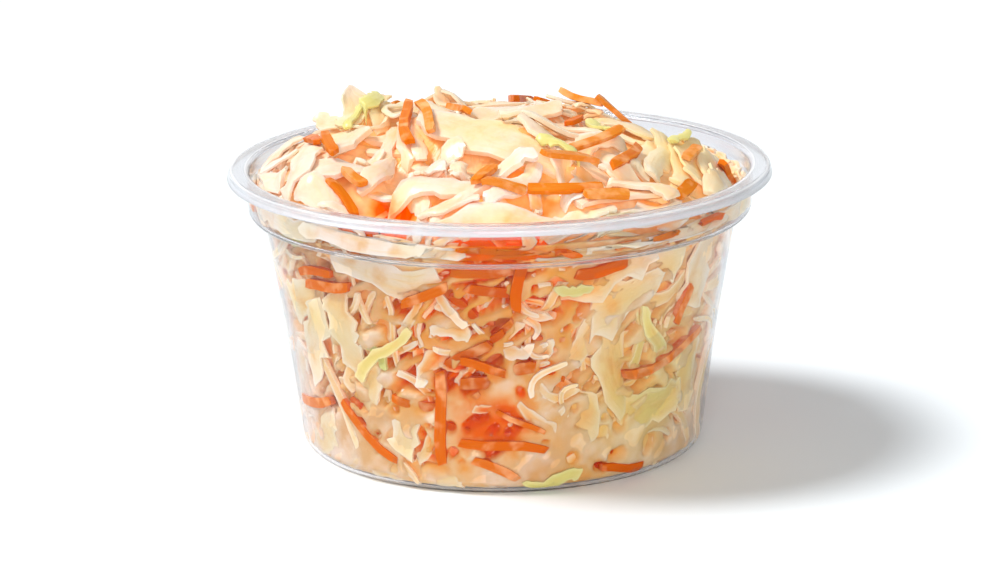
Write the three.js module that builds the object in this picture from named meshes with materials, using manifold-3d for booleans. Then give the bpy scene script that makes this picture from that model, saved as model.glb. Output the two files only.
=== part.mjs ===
import * as THREE from "three";
import { mergeVertices } from "three/addons/utils/BufferGeometryUtils.js";
import Module from "manifold-3d";

// One helping of coleslaw, heaped in a round clear plastic cup.
// Millimetres, +Z up. The origin is the middle of the cup's foot, on the table.

// ---------------------------------------------------------------- driving dimensions
const RIM_HEIGHT = 50; // table to the top of the cup's flange
const LIP_RADIUS = 47.5; // the 95 mm lid size, over the turned-down lip
const SHEET = 0.6; // thickness of the formed sheet
const CUP_SIDES = 40; // facets round the cup

const PUNT_RADIUS = 30.4; // the raised middle of the base
const PUNT_RISE = 1.0;
const FOOT_RADIUS = 34.7; // where the heel would meet the table with no rounding
const WAIST = { radius: 37.35, height: 20.6 }; // the wall bows in a little here
const WALL_TOP = { radius: 40.95, height: 41.6 };
const COLLAR_FOOT = { radius: 43.6, height: 42.4 };
const COLLAR_TOP_RADIUS = 43.8;
const LIP_TURN_RADIUS = 46.9; // where the flat flange turns down into the lip
const LIP_DROP = 1.4;

const GAP = 0.4; // the salad's nearest approach to the sheet
const HEAP_PEAK = 57.2; // height of the smooth dome, without its tufts
const HEAP_EDGE = 47.6; // where the dome meets the collar on the full side
const HEAP_SAG = 3.0; // how much lower the edge lies on the slack side
const SLACK_HEADING = 0.35; // direction of the slack side, radians from +X
const CORE_INSET = 1.2; // how far the core stays behind the shreds on the wall
const CORE_COVER = 1.2; // and under the shreds on top
const PROUD = 0.72; // share of a top shred's thickness that stands out of the core
const WALL_SLOPE = 0.14; // outward lean of the wall
const SHRED_SLACK = 0.1; // a shred's corners stand out past its middle by up to this
const HEEL_CHAMFER = 0.6; // the core's bottom edge is drawn in by this
const CORE_SIDES = 36;

// Tufts that stand up out of the dome and hollows between them.
const LUMPS = [
  { x: -25, y: 8, height: 5.6, spread: 6 },
  { x: 17, y: 9, height: 2.4, spread: 9 },
  { x: 33, y: -1, height: 2.8, spread: 5.5 },
  { x: -4, y: 3, height: 1.0, spread: 9 },
  { x: -17, y: -26, height: -2.2, spread: 6 },
  { x: 8, y: -27, height: -1.6, spread: 7 },
];

// ---------------------------------------------------------------- seeded random draws
let drawState = 20240611;
function draw(low, high) {
  drawState = (drawState + 0x6d2b79f5) | 0;
  let t = Math.imul(drawState ^ (drawState >>> 15), 1 | drawState);
  t = (t + Math.imul(t ^ (t >>> 7), 61 | t)) ^ t;
  return low + (high - low) * (((t ^ (t >>> 14)) >>> 0) / 4294967296);
}

// ---------------------------------------------------------------- joining solids
const wasm = await Module();
wasm.setup();

function toSolid(geometry) {
  const bare = new THREE.BufferGeometry();
  bare.setAttribute("position", geometry.getAttribute("position"));
  bare.setIndex(geometry.index);
  const merged = mergeVertices(bare, 1e-4);
  return new wasm.Manifold(
    new wasm.Mesh({
      numProp: 3,
      vertProperties: merged.getAttribute("position").array,
      triVerts: new Uint32Array(merged.index.array),
    }),
  );
}

function toGeometry(solid) {
  const mesh = solid.getMesh();
  const geometry = new THREE.BufferGeometry();
  geometry.setAttribute("position", new THREE.BufferAttribute(mesh.vertProperties, 3));
  geometry.setIndex(new THREE.BufferAttribute(mesh.triVerts, 1));
  return geometry;
}

// Closes a stack of rings, each with the same number of points, into a solid with flat ends.
function stackOfRings(rings) {
  const sides = rings[0].length;
  const index = [];
  for (let k = 0; k + 1 < rings.length; k++) {
    for (let i = 0; i < sides; i++) {
      const a = k * sides + i;
      const b = k * sides + ((i + 1) % sides);
      index.push(a, b, b + sides, a, b + sides, a + sides);
    }
  }
  const last = (rings.length - 1) * sides;
  for (let i = 1; i + 1 < sides; i++) {
    index.push(0, i + 1, i);
    index.push(last, last + i, last + i + 1);
  }
  const geometry = new THREE.BufferGeometry().setFromPoints(rings.flat());
  geometry.setIndex(index);
  return geometry;
}

// ---------------------------------------------------------------- the clear cup
// The middle of the sheet from the axis to the edge of the lip. Each corner is rounded by
// its own radius, in the given number of steps.
const SHEET_CORNERS = [
  { r: 0, z: PUNT_RISE + SHEET / 2 },
  { r: PUNT_RADIUS, z: PUNT_RISE + SHEET / 2, round: 0.5, steps: 1 },
  { r: PUNT_RADIUS + 0.9, z: SHEET / 2, round: 0.4, steps: 1 },
  { r: FOOT_RADIUS, z: SHEET / 2, round: 2.6, steps: 3 },
  { r: WAIST.radius, z: WAIST.height, round: 300, steps: 2 },
  { r: WALL_TOP.radius, z: WALL_TOP.height, round: 0.7, steps: 2 },
  { r: COLLAR_FOOT.radius, z: COLLAR_FOOT.height, round: 0.9, steps: 2 },
  { r: COLLAR_TOP_RADIUS, z: RIM_HEIGHT - SHEET / 2, round: 0.7, steps: 2 },
  { r: LIP_TURN_RADIUS, z: RIM_HEIGHT - SHEET / 2, round: 0.8, steps: 2 },
  { r: LIP_RADIUS - SHEET / 2, z: RIM_HEIGHT - SHEET / 2 - LIP_DROP },
];

function roundedLine(corners) {
  const points = corners.map((c) => new THREE.Vector2(c.r, c.z));
  const line = [points[0]];
  for (let i = 1; i + 1 < points.length; i++) {
    const back = points[i - 1].clone().sub(points[i]).normalize();
    const on = points[i + 1].clone().sub(points[i]).normalize();
    const half = Math.acos(THREE.MathUtils.clamp(back.dot(on), -1, 1)) / 2;
    const { round, steps } = corners[i];
    const centre = back.clone().add(on).normalize().multiplyScalar(round / Math.sin(half)).add(points[i]);
    const first = points[i].clone().addScaledVector(back, round / Math.tan(half));
    const sweep = (Math.PI - 2 * half) * Math.sign(on.cross(back));
    for (let k = 0; k <= steps; k++) {
      line.push(first.clone().rotateAround(centre, (sweep * k) / steps));
    }
  }
  line.push(points[points.length - 1]);
  return line;
}

// The line moved sideways by a distance, to its left when that is positive.
function offsetLine(line, distance) {
  return line.map((p, i) => {
    const before = line[Math.max(i - 1, 0)];
    const after = line[Math.min(i + 1, line.length - 1)];
    const inTurn = p.clone().sub(before);
    const outTurn = after.clone().sub(p);
    const along = inTurn.clone().normalize().add(outTurn.clone().normalize()).normalize();
    const widen = inTurn.length() * outTurn.length() > 0 ? inTurn.normalize().dot(along) : 1;
    return new THREE.Vector2(p.x - (along.y * distance) / widen, p.y + (along.x * distance) / widen);
  });
}

const sheetLine = roundedLine(SHEET_CORNERS);
const insideLine = offsetLine(sheetLine, SHEET / 2);
const outsideLine = offsetLine(sheetLine, -SHEET / 2);

function cupGeometry() {
  const outline = [...outsideLine, ...insideLine.slice().reverse()];
  outline[0].x = 0;
  outline[outline.length - 1].x = 0;
  return new THREE.LatheGeometry(outline, CUP_SIDES).rotateX(Math.PI / 2);
}

// The free radius inside the cup at a height, less the gap that the salad keeps.
function roomAt(height) {
  const z = Math.min(height, RIM_HEIGHT - LIP_DROP);
  const i = insideLine.findIndex((p) => p.x > PUNT_RADIUS + 1 && p.y >= z);
  const [below, above] = [insideLine[i - 1], insideLine[i]];
  const t = THREE.MathUtils.clamp((z - below.y) / (above.y - below.y), 0, 1);
  return THREE.MathUtils.lerp(below.x, above.x, t) - GAP;
}

// ---------------------------------------------------------------- the heap's form
// A dome from the peak down to an edge that sags on the slack side, with the lumps on it.
function heapTop(x, y) {
  const reach = Math.min(Math.hypot(x, y) / (COLLAR_TOP_RADIUS - SHEET), 1);
  const slack = Math.max(Math.cos(Math.atan2(y, x) - SLACK_HEADING), 0) ** 2;
  const edge = HEAP_EDGE - HEAP_SAG * slack * reach;
  let top = edge + (HEAP_PEAK - edge) * (1 - reach ** 2.4);
  for (const lump of LUMPS) {
    const away = Math.hypot(x - lump.x, y - lump.y) / lump.spread;
    top += lump.height * Math.exp(-away * away);
  }
  return top;
}

function heapNormal(x, y) {
  const step = 1.5;
  const slopeX = (heapTop(x + step, y) - heapTop(x - step, y)) / (2 * step);
  const slopeY = (heapTop(x, y + step) - heapTop(x, y - step)) / (2 * step);
  return new THREE.Vector3(-slopeX, -slopeY, 1).normalize();
}

// The mass of salad behind the shreds that show: rings up the wall, then in over the dome.
const FLOOR = PUNT_RISE + SHEET + GAP;
const BRIM_ROOM = roomAt(RIM_HEIGHT);
const WALL_RINGS = [0, 2.5, 9, 16, 23, 30, 36, 40];
const DOME_REACHES = [1, 0.86, 0.72, 0.58, 0.44, 0.3, 0.15];

function coreGeometry() {
  const rings = [];
  const ring = (place) => {
    const points = [];
    for (let i = 0; i < CORE_SIDES; i++) points.push(place((2 * Math.PI * i) / CORE_SIDES));
    rings.push(points);
  };
  for (const rise of WALL_RINGS) {
    const inset = CORE_INSET + (rise === 0 ? HEEL_CHAMFER : 0);
    ring((angle) => {
      const swell = 0.35 * Math.sin(5 * angle + rise) + 0.25 * Math.sin(11 * angle - 0.7 * rise);
      const radius = roomAt(FLOOR + rise) - inset + swell;
      return new THREE.Vector3(radius * Math.cos(angle), radius * Math.sin(angle), FLOOR + rise);
    });
  }
  for (const reach of DOME_REACHES) {
    const radius = (BRIM_ROOM - CORE_INSET) * reach;
    ring((angle) => {
      const x = radius * Math.cos(angle);
      const y = radius * Math.sin(angle);
      return new THREE.Vector3(x, y, heapTop(x, y) - CORE_COVER);
    });
  }
  return stackOfRings(rings);
}

// ---------------------------------------------------------------- one shred
// A four-sided strip along a line of stations { at, out }, where out is the way its broad
// face looks. It narrows by the taper from its middle to its ends.
function shredGeometry({ stations, width, thickness, taper }) {
  const last = stations.length - 1;
  return stackOfRings(
    stations.map(({ at, out }, k) => {
      const along = stations[Math.min(k + 1, last)].at.clone().sub(stations[Math.max(k - 1, 0)].at);
      const across = new THREE.Vector3().crossVectors(out, along).normalize();
      const half = (width / 2) * (1 - taper * ((2 * k) / last - 1) ** 2);
      const corner = (side, depth) => at.clone().addScaledVector(across, side).addScaledVector(out, -depth);
      return [corner(half, 0), corner(-half, 0), corner(-half, thickness), corner(half, thickness)];
    }),
  );
}

// Carrot is cut in square sticks, cabbage in flat ribbons, and chips are short and broad.
const KINDS = {
  carrot: { length: [12, 21], width: [2.2, 2.7], thickness: [1.9, 2.2], bend: 0.12, taper: 0.1, steps: 2 },
  cabbage: { length: [14, 25], width: [3.4, 5.4], thickness: [1.6, 2.0], bend: 0.18, taper: 0.35, steps: 3 },
  chip: { length: [7, 11], width: [4.5, 7.0], thickness: [1.6, 1.9], bend: 0, taper: 0.3, steps: 1 },
};
const ORDER = ["cabbage", "carrot", "cabbage", "chip"];

function cut(kind) {
  const { length, width, thickness, bend, taper, steps } = KINDS[kind];
  const size = draw(...length);
  const bow = draw(-bend, bend) * size;
  const line = [];
  for (let k = 0; k <= steps; k++) {
    const t = (2 * k) / steps - 1;
    line.push({ s: (t * size) / 2, side: bow * (1 - t * t), end: (t + 1) / 2 });
  }
  return { line, width: draw(...width), thickness: draw(...thickness), taper };
}

// A shred pressed against the wall, its outer face just clear of the sheet. It is cut short
// where it would leave the band between the two heights.
function wallShred(kind, angle, height, tilt, [low, high]) {
  const { line, width, thickness, taper } = cut(kind);
  const reach = (width / 2) * Math.abs(Math.cos(tilt));
  const stations = [];
  for (const { s, side } of line) {
    const z = height + s * Math.sin(tilt) + side * Math.cos(tilt);
    const turn = angle + (s * Math.cos(tilt) - side * Math.sin(tilt)) / roomAt(height);
    if (z - reach < low || z + reach > high) continue;
    const radius = Math.min(roomAt(z - reach), roomAt(z + reach)) - SHRED_SLACK;
    const at = new THREE.Vector3(radius * Math.cos(turn), radius * Math.sin(turn), z);
    stations.push({ at, out: new THREE.Vector3(Math.cos(turn), Math.sin(turn), -WALL_SLOPE).normalize() });
  }
  return { stations, width, thickness, taper };
}

// A shred lying on the heap, a little sunk in it, with one end lifted. It is cut short where it
// would come too near the collar.
function topShred(kind, x, y, heading, lift) {
  const { line, width, thickness, taper } = cut(kind);
  const stations = [];
  for (const { s, side, end } of line) {
    const px = x + s * Math.cos(heading) - side * Math.sin(heading);
    const py = y + s * Math.sin(heading) + side * Math.cos(heading);
    if (Math.hypot(px, py) + width / 2 > BRIM_ROOM - SHRED_SLACK) continue;
    const z = heapTop(px, py) - CORE_COVER + thickness * PROUD + lift * end ** 2;
    stations.push({ at: new THREE.Vector3(px, py, z), out: heapNormal(px, py) });
  }
  return { stations, width, thickness, taper };
}

// ---------------------------------------------------------------- the whole salad
const TOP_SHREDS = 54;
const WALL_SHREDS = 48;
const COLLAR_SHREDS = 10;
const WALL_BAND = [4.5, 40.2];
const COLLAR_BAND = [42.9, 48.5];
const GOLDEN_ANGLE = Math.PI * (3 - Math.sqrt(5));

function allShreds() {
  const shreds = [];
  for (let i = 0; i < TOP_SHREDS; i++) {
    const reach = 37 * Math.sqrt((i + 0.5) / TOP_SHREDS);
    const angle = i * GOLDEN_ANGLE;
    const heading = reach > 27 ? angle + Math.PI / 2 + draw(-0.4, 0.4) : draw(0, Math.PI);
    const lift = i % 4 === 0 ? draw(0.8, 1.8) : 0;
    const kind = ORDER[i % ORDER.length];
    shreds.push(topShred(kind, reach * Math.cos(angle), reach * Math.sin(angle), heading, lift));
  }
  for (let i = 0; i < WALL_SHREDS; i++) {
    const share = (i * 0.618034 + 0.3) % 1;
    const height = THREE.MathUtils.lerp(WALL_BAND[0] + 3, WALL_BAND[1] - 3, share);
    shreds.push(wallShred(ORDER[i % ORDER.length], i * GOLDEN_ANGLE, height, draw(-1.2, 1.2), WALL_BAND));
  }
  for (let i = 0; i < COLLAR_SHREDS; i++) {
    const angle = (2 * Math.PI * (i + 0.3)) / COLLAR_SHREDS;
    const brimLevel = heapTop(BRIM_ROOM * Math.cos(angle), BRIM_ROOM * Math.sin(angle));
    shreds.push(wallShred("carrot", angle, brimLevel - 1.6, draw(-0.1, 0.1), COLLAR_BAND));
  }
  return shreds.filter(({ stations }) => stations.length > 1);
}

// The outer skin of a fused solid: sealed hollows are filled and loose scraps dropped, by
// keeping only the connected set of triangles that encloses the most.
function outerSkin(geometry) {
  const position = geometry.getAttribute("position");
  const index = geometry.index.array;
  const leader = Array.from({ length: position.count }, (_, i) => i);
  const find = (i) => {
    while (leader[i] !== i) i = leader[i] = leader[leader[i]];
    return i;
  };
  for (let t = 0; t < index.length; t += 3) {
    leader[find(index[t + 1])] = find(index[t]);
    leader[find(index[t + 2])] = find(index[t]);
  }
  const enclosed = new Map();
  const [a, b, c] = [new THREE.Vector3(), new THREE.Vector3(), new THREE.Vector3()];
  for (let t = 0; t < index.length; t += 3) {
    a.fromBufferAttribute(position, index[t]);
    b.fromBufferAttribute(position, index[t + 1]);
    c.fromBufferAttribute(position, index[t + 2]);
    const skin = find(index[t]);
    enclosed.set(skin, (enclosed.get(skin) ?? 0) + a.dot(b.cross(c)) / 6);
  }
  const [largest] = [...enclosed].reduce((best, entry) => (entry[1] > best[1] ? entry : best));
  const kept = [];
  for (let t = 0; t < index.length; t += 3) {
    if (find(index[t]) === largest) kept.push(index[t], index[t + 1], index[t + 2]);
  }
  geometry.setIndex(kept);
  return geometry;
}

function saladGeometry() {
  let salad = toSolid(coreGeometry());
  for (const shred of allShreds()) salad = salad.add(toSolid(shredGeometry(shred)));
  return outerSkin(toGeometry(salad));
}

// ---------------------------------------------------------------- the scene graph
const clearPlastic = new THREE.MeshStandardMaterial({
  color: 0xe4e9ee,
  roughness: 0.08,
  metalness: 0,
  transparent: true,
  opacity: 0.3,
});
const dressedSalad = new THREE.MeshStandardMaterial({ color: 0xf0d3a6, roughness: 0.4, metalness: 0 });

const helping = new THREE.Group();
function addPiece(name, geometry, material) {
  const mesh = new THREE.Mesh(geometry, material);
  mesh.name = name;
  helping.add(mesh);
}
addPiece("cup", cupGeometry(), clearPlastic);
addPiece("coleslaw", saladGeometry(), dressedSalad);

export default helping;
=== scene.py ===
"""Coleslaw heaped in a round clear plastic cup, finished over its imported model."""
import math

import bpy
import numpy as np
from mathutils import Matrix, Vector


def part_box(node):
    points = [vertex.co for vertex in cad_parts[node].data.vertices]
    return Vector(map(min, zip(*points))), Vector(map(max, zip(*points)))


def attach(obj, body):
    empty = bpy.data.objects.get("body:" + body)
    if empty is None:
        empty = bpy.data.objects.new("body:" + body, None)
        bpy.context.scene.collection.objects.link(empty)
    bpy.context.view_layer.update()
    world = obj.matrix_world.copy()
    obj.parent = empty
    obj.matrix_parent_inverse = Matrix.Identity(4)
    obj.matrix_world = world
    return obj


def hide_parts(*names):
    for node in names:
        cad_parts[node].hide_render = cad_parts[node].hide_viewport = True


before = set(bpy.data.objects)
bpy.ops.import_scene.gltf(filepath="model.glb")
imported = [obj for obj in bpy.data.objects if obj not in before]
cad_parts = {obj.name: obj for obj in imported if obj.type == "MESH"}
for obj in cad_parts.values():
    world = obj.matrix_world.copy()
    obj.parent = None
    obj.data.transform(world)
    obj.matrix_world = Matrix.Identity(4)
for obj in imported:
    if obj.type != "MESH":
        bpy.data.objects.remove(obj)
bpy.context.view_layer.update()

# ==================================================================== the clear cup
# A deli cup formed in one piece from thin clear sheet. It stands on a ring round its raised
# base, its wall bows in a little, a collar steps out near the top so that empty cups nest,
# and the flat flange that takes the lid is turned down at its lip.

MM = 0.001
cup_low, cup_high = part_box("cup")
lip_radius = (cup_high[0] - cup_low[0]) / 2 / MM
rim_height = cup_high[2] / MM
sheet = 0.6
punt_radius, punt_rise = 30.4, 1.0
wall_top_radius, wall_top_height = 40.95, 41.6
collar_radius = 43.8
cup_corners = [  # radius and height of the sheet's middle, then how it is rounded there
    (0, punt_rise + sheet / 2, 0),
    (punt_radius, punt_rise + sheet / 2, 0.5),
    (punt_radius + 0.9, sheet / 2, 0.4),
    (34.7, sheet / 2, 2.6),
    (37.35, 20.6, 300),
    (wall_top_radius, wall_top_height, 0.7),
    (collar_radius - 0.2, 42.4, 0.9),
    (collar_radius, rim_height - sheet / 2, 0.7),
    (lip_radius - 0.6, rim_height - sheet / 2, 0.8),
    (lip_radius - sheet / 2, rim_height - 1.4 - sheet / 2, 0),
]


def rounded_line(corners, arc_steps, spacing):
    """The line through the corners, each replaced by an arc of its own radius.

    With the half angle h between a corner's two sides, the arc of radius r touches them
    r / tan h away from the corner, and its centre is r / sin h away along their bisector.
    """
    line = [np.array(corners[0][:2])]
    for before, (x, z, radius), after in zip(corners, corners[1:], corners[2:]):
        corner = np.array([x, z])
        back = np.array(before[:2]) - corner
        on = np.array(after[:2]) - corner
        back, on = back / np.hypot(*back), on / np.hypot(*on)
        half = math.acos(back @ on) / 2
        middle = (back + on) / np.hypot(*(back + on))
        centre = corner + middle * radius / math.sin(half)
        first = corner + back * radius / math.tan(half) - centre
        sweep = (math.pi - 2 * half) * np.sign(on[0] * back[1] - on[1] * back[0])
        turn = np.linspace(0, sweep, arc_steps)
        arc = np.stack([first[0] * np.cos(turn) - first[1] * np.sin(turn),
                        first[0] * np.sin(turn) + first[1] * np.cos(turn)], 1) + centre
        steps = max(int(np.hypot(*(arc[0] - line[-1])) / spacing), 1)
        share = np.linspace(0, 1, steps, endpoint=False)[1:, None]
        line.extend(line[-1] + (arc[0] - line[-1]) * share)
        line.extend(arc)
    line.append(np.array(corners[-1][:2]))
    return np.array(line)


def beside(line, distance):
    """The line moved sideways, to its left, by the distance along its own normal."""
    along = np.gradient(line, axis=0)
    along /= np.hypot(*along.T)[:, None]
    return line + np.stack([-along[:, 1], along[:, 0]], 1) * distance


def capped_rows(rows, first_pole, last_pole):
    """Points and faces of rows of a closed surface, each a ring, with a pole at either end.

    Point (i, j) is joined to its neighbours (i, j + 1) round the ring and (i + 1, j) in the
    next ring, and each end ring is joined to its pole by triangles.
    """
    count, sides = rows.shape[:2]
    i, j = np.meshgrid(np.arange(count - 1), np.arange(sides), indexing="ij")
    k = (j + 1) % sides
    quads = np.stack([i * sides + j, i * sides + k, (i + 1) * sides + k, (i + 1) * sides + j], -1)
    j, k = j[0], k[0]
    last = (count - 1) * sides
    start = np.stack([np.full(sides, count * sides), k, j], 1)
    end = np.stack([last + j, last + k, np.full(sides, count * sides + 1)], 1)
    points = np.concatenate([rows.reshape(-1, 3), [first_pole, last_pole]])
    return points, [quads.reshape(-1, 4), start, end]


def new_piece(name, points, faces, replaced, material, values=None, uv=None):
    """A smooth mesh object from points in millimetres and arrays of faces, attached to the root body, with
    the part it replaces hidden.

    The faces' corners are written as one run of indices with the start of each face.
    Values are numbers for each point, and uv is a pair for each point.
    """
    corners = np.concatenate([f.ravel() for f in faces]).astype(np.int32)
    sizes = np.concatenate([np.full(len(f), f.shape[1]) for f in faces])
    starts = np.concatenate([[0], np.cumsum(sizes)[:-1]]).astype(np.int32)
    mesh = bpy.data.meshes.new(name)
    mesh.vertices.add(len(points))
    mesh.vertices.foreach_set("co", (points * MM).astype(np.float32).ravel())
    mesh.loops.add(len(corners))
    mesh.loops.foreach_set("vertex_index", corners)
    mesh.polygons.add(len(sizes))
    mesh.polygons.foreach_set("loop_start", starts)
    mesh.polygons.foreach_set("use_smooth", np.ones(len(sizes), bool))
    if uv is not None:
        layer = mesh.uv_layers.new(name="along and across")
        layer.data.foreach_set("uv", uv[corners].astype(np.float32).ravel())
    for key, numbers in (values or {}).items():
        attribute = mesh.attributes.new(key, "FLOAT", "POINT")
        attribute.data.foreach_set("value", numbers.astype(np.float32).ravel())
    mesh.update(calc_edges=True)
    mesh.validate()
    mesh.materials.append(material)
    piece = bpy.data.objects.new(name, mesh)
    bpy.context.scene.collection.objects.link(piece)
    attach(piece, "root")
    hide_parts(replaced)
    return piece


class Wire:
    """A value in a material. Sums and products of wires add the Math nodes that work them out."""

    def __init__(self, recipe, socket):
        self.recipe, self.socket = recipe, socket

    def math(self, operation, *terms):
        return self.recipe.node("ShaderNodeMath", {"operation": operation}, dict(enumerate(terms)))

    def __add__(self, other):
        return self.math("ADD", self, other)

    def __sub__(self, other):
        return self.math("SUBTRACT", self, other)

    def __rsub__(self, other):
        return self.math("SUBTRACT", other, self)

    def __mul__(self, other):
        return self.math("MULTIPLY", self, other)

    __radd__, __rmul__ = __add__, __mul__


class Recipe:
    """A material being made: its node tree, and the ways in which nodes are added to it."""

    def __init__(self, name):
        self.material = bpy.data.materials.new(name)
        self.material.use_nodes = True
        self.tree = self.material.node_tree
        self.tree.nodes.clear()

    def node(self, kind, settings=None, inputs=None, output=0):
        """A node of a kind. Settings come first, a ramp's stops among them, then its inputs."""
        made = self.tree.nodes.new(kind)
        for key, value in (settings or {}).items():
            if key == "stops":
                for stop, colour in value[len(made.color_ramp.elements):]:
                    made.color_ramp.elements.new(stop)
                for element, (stop, colour) in zip(made.color_ramp.elements, value):
                    element.position, element.color = stop, (*colour, 1)
            else:
                setattr(made, key, value)
        for key, value in (inputs or {}).items():
            if isinstance(value, Wire):
                self.tree.links.new(value.socket, made.inputs[key])
            elif hasattr(value, "__len__") and len(made.inputs[key].default_value) == 4:
                made.inputs[key].default_value = (*value, 1)
            else:
                made.inputs[key].default_value = value
        return Wire(self, made.outputs[output]) if made.outputs else None

    def blend(self, share, one, other):
        """The colour that goes from one to the other as the share goes from 0 to 1."""
        inputs = {0: share, 6: one, 7: other}
        return self.node("ShaderNodeMix", {"data_type": "RGBA"}, inputs, output=2)

    def spread(self, value, low, high, first=0.0, last=1.0):
        """From first to last as the value goes from low to high, and no further."""
        return self.node("ShaderNodeMapRange", None, {"Value": value, 1: low, 2: high, 3: first, 4: last})

    def ramp(self, value, *stops):
        return self.node("ShaderNodeValToRGB", {"stops": stops}, {"Fac": value})

    def noise(self, vector, scale, detail):
        inputs = {"Vector": vector, "Scale": scale, "Detail": detail}
        return self.node("ShaderNodeTexNoise", None, inputs)

    def bump(self, height, strength, distance):
        inputs = {"Height": height, "Strength": strength, "Distance": distance}
        return self.node("ShaderNodeBump", None, inputs)

    def read(self, name):
        """The piece's own value of this name."""
        return self.node("ShaderNodeAttribute", {"attribute_name": name}, output=2)

    def place(self):
        """The place in the object, in metres."""
        return self.node("ShaderNodeTexCoord", output=3)

    def finish(self, surface):
        self.node("ShaderNodeOutputMaterial", None, {"Surface": surface})
        return self.material


def screen(red, green, blue):
    """A colour from its 0 to 255 screen values, as the linear light that shaders use."""
    values = np.array([red, green, blue]) / 255
    light = np.where(values < 0.04045, values / 12.92, ((values + 0.055) / 1.055) ** 2.4)
    return tuple(float(v) for v in light)


def open_to_light(recipe, body, tint):
    """The surface as the eye sees it, but open, with a tint, to lamps and to bounced light."""
    open_way = recipe.node("ShaderNodeBsdfTransparent", None, {"Color": tint})
    for ray in ("Is Shadow Ray", "Is Diffuse Ray"):
        passing = recipe.node("ShaderNodeLightPath", output=ray)
        body = recipe.node("ShaderNodeMixShader", None, {0: passing, 1: body, 2: open_way})
    return recipe.finish(body)


def clear_plastic():
    """Clear sheet: smooth glass, with the slight waves that forming leaves in it."""
    recipe = Recipe("clear plastic sheet")
    waves = recipe.noise(recipe.place(), 130.0, 1.0)
    body = recipe.node("ShaderNodeBsdfPrincipled", None, {
        "Base Color": screen(232, 233, 238), "Roughness": 0.08, "IOR": 1.22,
        "Transmission Weight": 1.0, "Normal": recipe.bump(waves, 0.05, 0.001)})
    return open_to_light(recipe, body, screen(250, 251, 252))


painted_grey_share = 0.12  # the share of opaque grey-white, painted grey reflection, in the flange, the lip and the ledge
bends = [  # radius of each bend, the half width of its painted highlight line and the grey-white share it adds
    (lip_radius - 0.7, 0.45, 0.6), (collar_radius + 0.55, 0.35, 0.6),
    (collar_radius - 0.5, 0.3, 0.3), (wall_top_radius + 0.2, 0.3, 0.3),
]


def brim_plastic():
    """The same sheet, part clear and part an opaque grey-white that paints the grey reflections in its
    turned edge and at its ledge, with a painted highlight, a whiter line, along each bend."""
    recipe = Recipe("brim plastic with painted sheen")
    place = recipe.place()
    level = recipe.node("ShaderNodeVectorMath", {"operation": "MULTIPLY"}, {0: place, 1: (1, 1, 0)})
    radius = recipe.node("ShaderNodeVectorMath", {"operation": "LENGTH"}, {0: level}, output=1)
    share = painted_grey_share
    for bend, width, more in bends:
        away = radius.math("ABSOLUTE", radius - bend * MM)
        share = recipe.spread(away, 0.0, width * MM, more, 0.0) + share
    white = recipe.spread(share, painted_grey_share, painted_grey_share + 0.6)
    glass = recipe.node("ShaderNodeBsdfPrincipled", None, {
        "Base Color": screen(238, 238, 241), "Roughness": 0.1, "IOR": 1.25, "Transmission Weight": 1.0})
    # An opaque grey-white in place of clear sheet: painted reflection, whiter along the bends as painted
    # highlight.
    painted_sheen = recipe.node("ShaderNodeBsdfPrincipled", None, {
        "Base Color": recipe.blend(white, screen(210, 213, 219), screen(240, 241, 244)),
        "Roughness": 0.25, "IOR": 1.45})
    body = recipe.node("ShaderNodeMixShader", None, {0: share, 1: glass, 2: painted_sheen})
    return open_to_light(recipe, body, screen(236, 238, 240))


cup_middle = rounded_line(cup_corners, arc_steps=7, spacing=1.6)
cup_inside = beside(cup_middle, sheet / 2)
cup_outline = np.concatenate([beside(cup_middle, -sheet / 2), cup_inside[::-1]])
cup_angles = np.linspace(0, 2 * math.pi, 180, endpoint=False)
cup_rings = np.stack([
    cup_outline[1:-1, :1] * np.cos(cup_angles),
    cup_outline[1:-1, :1] * np.sin(cup_angles),
    np.repeat(cup_outline[1:-1, 1:], len(cup_angles), 1)], -1)
cup_points, cup_faces = capped_rows(cup_rings, (0, 0, punt_rise), (0, 0, punt_rise + sheet))
cup = new_piece("clear_cup", cup_points, cup_faces, "cup", clear_plastic())
cup.data.materials.append(brim_plastic())
# The flange, the lip and the ledge take the brim plastic, with its painted reflection and highlights.
face_middles = np.concatenate([cup_points[f].mean(1) for f in cup_faces])
beyond_collar = np.hypot(*face_middles[:, :2].T) > collar_radius + 0.2
on_ledge = np.abs(face_middles[:, 2] - wall_top_height - 0.4) < 0.7
cup.data.polygons.foreach_set("material_index", (beyond_collar | on_ledge).astype(np.int32))


# ==================================================================== the form of the heap
# The salad fills the cup to its wall and stands above the rim as a dome, with a few tufts and
# hollows. It lies lower against the collar on one side, where the clear wall shows.

heap_peak, heap_edge, heap_sag, slack_heading = 57.2, 47.6, 3.0, 0.35
lumps = [  # x, y, height and spread of each tuft or hollow
    (-25, 8, 5.6, 6), (17, 9, 2.4, 9), (33, -1, 2.8, 5.5),
    (-4, 3, 1.0, 9), (-17, -26, -2.2, 6), (8, -27, -1.6, 7),
]
brim_radius = collar_radius - sheet / 2 - 0.25


def heap_top(x, y):
    """Height of the heap at (x, y): a dome that falls with the 2.4th power of the distance
    from the axis to an edge that sags on one side, plus a bell curve for each lump."""
    reach = np.minimum(np.hypot(x, y) / (collar_radius - sheet), 1)
    slack = np.maximum(np.cos(np.arctan2(y, x) - slack_heading), 0) ** 2
    edge = heap_edge - heap_sag * slack * reach
    top = edge + (heap_peak - edge) * (1 - reach ** 2.4)
    for at_x, at_y, height, spread in lumps:
        top = top + height * np.exp(-((x - at_x) ** 2 + (y - at_y) ** 2) / spread ** 2)
    return top


going_up = cup_inside[(cup_inside[:, 0] > punt_radius + 1) & (cup_inside[:, 1] < wall_top_height - 0.4)]
ledge_radius = going_up[-1, 0]


def eased(share):
    """The share from 0 to 1, but with a smooth start and end."""
    return share * share * (3 - 2 * share)


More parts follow.
